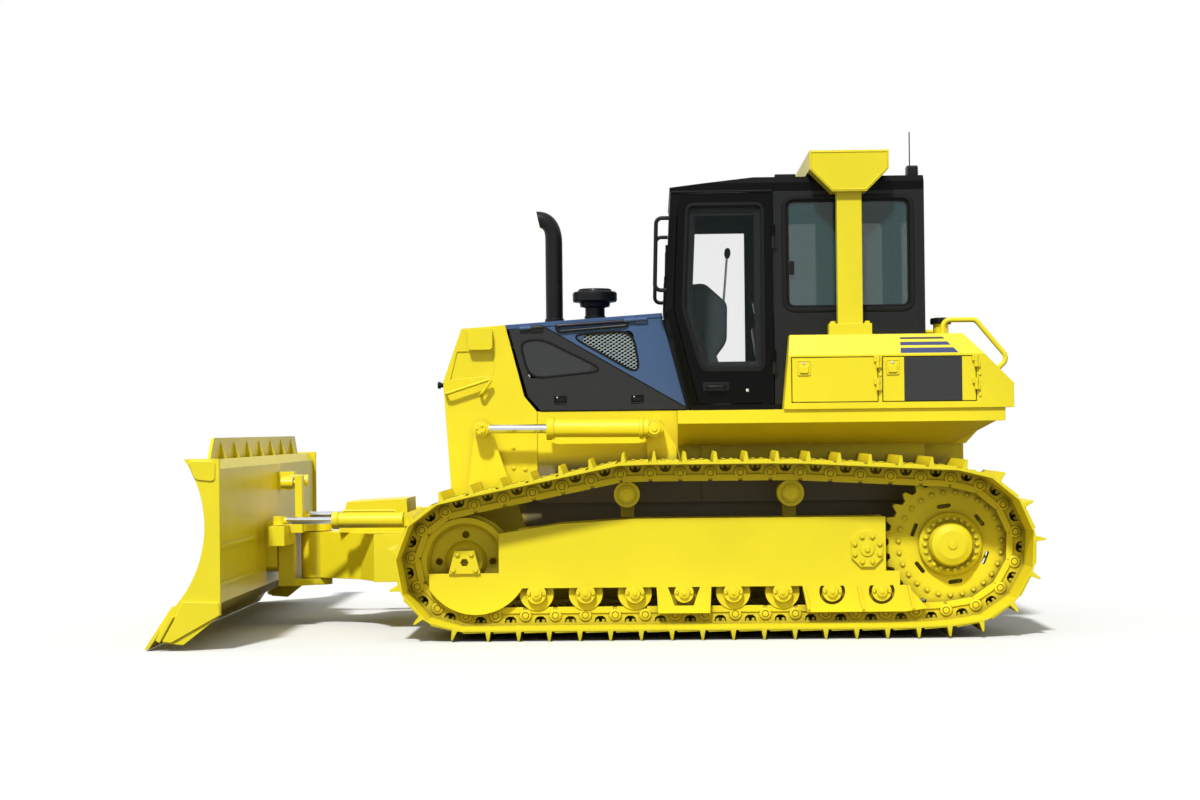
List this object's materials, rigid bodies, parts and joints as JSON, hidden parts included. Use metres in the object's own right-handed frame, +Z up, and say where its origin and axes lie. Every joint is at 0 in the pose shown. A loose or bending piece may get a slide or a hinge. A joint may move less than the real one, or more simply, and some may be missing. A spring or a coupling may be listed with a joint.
{
  "type": "crawler bulldozer",
  "caption": "Crawler bulldozer on wide soft-ground tracks with a power angle and tilt blade on a lift frame, closed cab under a roll bar and side storage boxes.",
  "frame": {"origin": "on the ground under the middle of the whole machine, blade included", "axes": "+X forward to the blade, +Y to the machine's left, +Z up"},
  "size_m": [5.728, 3.86, 3.385],
  "materials": {
    "yellow_paint": "gloss paint",
    "charcoal_paint": "satin paint",
    "black_paint": "satin paint",
    "bare_steel": "worn steel",
    "chrome_rod": "polished",
    "glass": "tinted",
    "iron": "cast",
    "seat_cloth": "woven",
    "trim_plastic": "moulded"
  },
  "bodies": {
    "chassis": {"main_frame": "yellow_paint", "engine_block": "iron", "radiator_guard": "yellow_paint", "radiator_core": "iron", "front_grille": "black_paint", "head_lamps": "yellow_paint", "hood_top": "charcoal_paint", "exhaust_stack": "black_paint", "air_precleaner": "black_paint", "cab_base": "black_paint", "cab_front": "black_paint", "cab_rear": "black_paint", "cab_sides": "black_paint", "cab_roof": "black_paint", "cab_glass": "glass", "operator_seat": "seat_cloth", "operator_console": "trim_plastic", "fenders": "yellow_paint", "side_box_left": "yellow_paint", "side_box_right": "yellow_paint", "fuel_tank": "yellow_paint", "rops_posts": "yellow_paint", "rops_beam": "yellow_paint", "handrails": "yellow_paint", "grab_rails": "black_paint", "aerial": "black_paint", "rear_hitch": "yellow_paint", "track_frames": "yellow_paint", "idlers": "yellow_paint", "sprockets": "yellow_paint", "final_drives": "yellow_paint", "track_rollers": "yellow_paint", "carrier_rollers": "yellow_paint", "cross_shafts": "yellow_paint", "track_left": "yellow_paint", "track_right": "yellow_paint"},
    "lift_frame": {"lift_arms": "yellow_paint", "lift_cross_member": "yellow_paint"},
    "blade_carrier": {"angle_yoke": "yellow_paint"},
    "blade": {"moldboard": "yellow_paint", "cutting_edge": "yellow_paint", "spill_guard": "yellow_paint"},
    "lift_barrel_left": {"lift_barrel_left": "yellow_paint"},
    "lift_barrel_right": {"lift_barrel_right": "yellow_paint"},
    "lift_rod_left": {"lift_rod_left": "chrome_rod"},
    "lift_rod_right": {"lift_rod_right": "chrome_rod"},
    "angle_barrel_left": {"angle_barrel_left": "yellow_paint"},
    "angle_barrel_right": {"angle_barrel_right": "yellow_paint"},
    "angle_rod_left": {"angle_rod_left": "chrome_rod"},
    "angle_rod_right": {"angle_rod_right": "chrome_rod"},
    "tilt_barrel": {"tilt_barrel": "yellow_paint"},
    "tilt_rod": {"tilt_rod": "chrome_rod"},
    "engine_door_left": {"engine_door_left": "charcoal_paint"},
    "engine_door_right": {"engine_door_right": "charcoal_paint"},
    "box_door_front": {"box_door_front": "yellow_paint"},
    "box_door_rear": {"box_door_rear": "yellow_paint"},
    "cab_door_left": {"cab_door_left": "black_paint", "door_glass_left": "glass"},
    "cab_door_right": {"cab_door_right": "black_paint", "door_glass_right": "glass"}
  },
  "joints": [
    {"name": "blade_lift", "type": "hinge", "parent": "chassis", "child": "lift_frame", "pos_m": [-0.334, 0, 0.56], "axis": [0, 1, 0], "range_deg": [-19.5, 10]},
    {"name": "blade_angle", "type": "hinge", "parent": "lift_frame", "child": "blade_carrier", "pos_m": [2.076, 0, 0.49], "axis": [0, 0, 1], "range_deg": [-25, 25]},
    {"name": "blade_tilt", "type": "hinge", "parent": "blade_carrier", "child": "blade", "pos_m": [2.316, 0, 0.56], "axis": [1, 0, 0], "range_deg": [-6.5, 6.5]},
    {"name": "lift_barrel_left_pivot", "type": "hinge", "parent": "chassis", "child": "lift_barrel_left", "pos_m": [-0.346, 0.702, 1.362], "axis": [0, 1, 0], "range_deg": [-22, 11.5]},
    {"name": "lift_rod_left_slide", "type": "slide", "parent": "lift_barrel_left", "child": "lift_rod_left", "axis": [1, 0, 0.0085], "range_m": [-0.28, 0.145]},
    {"name": "angle_barrel_left_pivot", "type": "hinge", "parent": "lift_frame", "child": "angle_barrel_left", "pos_m": [1.346, 0.586, 0.752], "axis": [0, 0, 1], "range_deg": [-3.5, 3.5]},
    {"name": "angle_rod_left_slide", "type": "slide", "parent": "angle_barrel_left", "child": "angle_rod_left", "axis": [0.9956, -0.0941, 0], "range_m": [-0.225, 0.225]},
    {"name": "lift_barrel_right_pivot", "type": "hinge", "parent": "chassis", "child": "lift_barrel_right", "pos_m": [-0.346, -0.702, 1.362], "axis": [0, 1, 0], "range_deg": [-22, 11.5]},
    {"name": "lift_rod_right_slide", "type": "slide", "parent": "lift_barrel_right", "child": "lift_rod_right", "axis": [1, 0, 0.0085], "range_m": [-0.28, 0.145]},
    {"name": "angle_barrel_right_pivot", "type": "hinge", "parent": "lift_frame", "child": "angle_barrel_right", "pos_m": [1.346, -0.586, 0.752], "axis": [0, 0, 1], "range_deg": [-3.5, 3.5]},
    {"name": "angle_rod_right_slide", "type": "slide", "parent": "angle_barrel_right", "child": "angle_rod_right", "axis": [0.9956, 0.0941, 0], "range_m": [-0.225, 0.225]},
    {"name": "tilt_barrel_pivot", "type": "hinge", "parent": "blade_carrier", "child": "tilt_barrel", "pos_m": [2.226, 0.33, 1.01], "axis": [1, 0, 0], "range_deg": [-3.6, 3.6]},
    {"name": "tilt_rod_slide", "type": "slide", "parent": "tilt_barrel", "child": "tilt_rod", "axis": [0, -1, 0], "range_m": [-0.055, 0.055]},
    {"name": "cab_door_left_hinge", "type": "hinge", "parent": "chassis", "child": "cab_door_left", "pos_m": [-1.159, 0.815, 2.2], "axis": [0, 0, 1], "range_deg": [0, 80]},
    {"name": "engine_door_left_hinge", "type": "hinge", "parent": "chassis", "child": "engine_door_left", "pos_m": [0.136, 0.553, 2.0885], "axis": [0.9978, 0, -0.0656], "range_deg": [0, 75]},
    {"name": "cab_door_right_hinge", "type": "hinge", "parent": "chassis", "child": "cab_door_right", "pos_m": [-1.159, -0.815, 2.2], "axis": [0, 0, -1], "range_deg": [0, 80]},
    {"name": "engine_door_right_hinge", "type": "hinge", "parent": "chassis", "child": "engine_door_right", "pos_m": [0.136, -0.553, 2.0885], "axis": [-0.9978, 0, 0.0656], "range_deg": [0, 75]},
    {"name": "box_door_front_hinge", "type": "hinge", "parent": "chassis", "child": "box_door_front", "pos_m": [-1.831, 1.033, 1.67], "axis": [0, 0, 1], "range_deg": [0, 90]},
    {"name": "box_door_rear_hinge", "type": "hinge", "parent": "chassis", "child": "box_door_rear", "pos_m": [-2.481, 1.033, 1.67], "axis": [0, 0, 1], "range_deg": [0, 90]}
  ],
  "couplings": [
    {"joint": "lift_barrel_left_pivot", "follows": "blade_lift", "ratio": 1.08},
    {"joint": "lift_rod_left_slide", "follows": "blade_lift", "m_per_rad": 0.79},
    {"joint": "angle_barrel_left_pivot", "follows": "blade_angle", "ratio": 0.119},
    {"joint": "angle_rod_left_slide", "follows": "blade_angle", "m_per_rad": -0.504},
    {"joint": "lift_barrel_right_pivot", "follows": "blade_lift", "ratio": 1.08},
    {"joint": "lift_rod_right_slide", "follows": "blade_lift", "m_per_rad": 0.79},
    {"joint": "angle_barrel_right_pivot", "follows": "blade_angle", "ratio": 0.119},
    {"joint": "angle_rod_right_slide", "follows": "blade_angle", "m_per_rad": 0.504},
    {"joint": "tilt_barrel_pivot", "follows": "blade_tilt", "ratio": 0.5},
    {"joint": "tilt_rod_slide", "follows": "blade_tilt", "m_per_rad": 0.45}
  ]
}
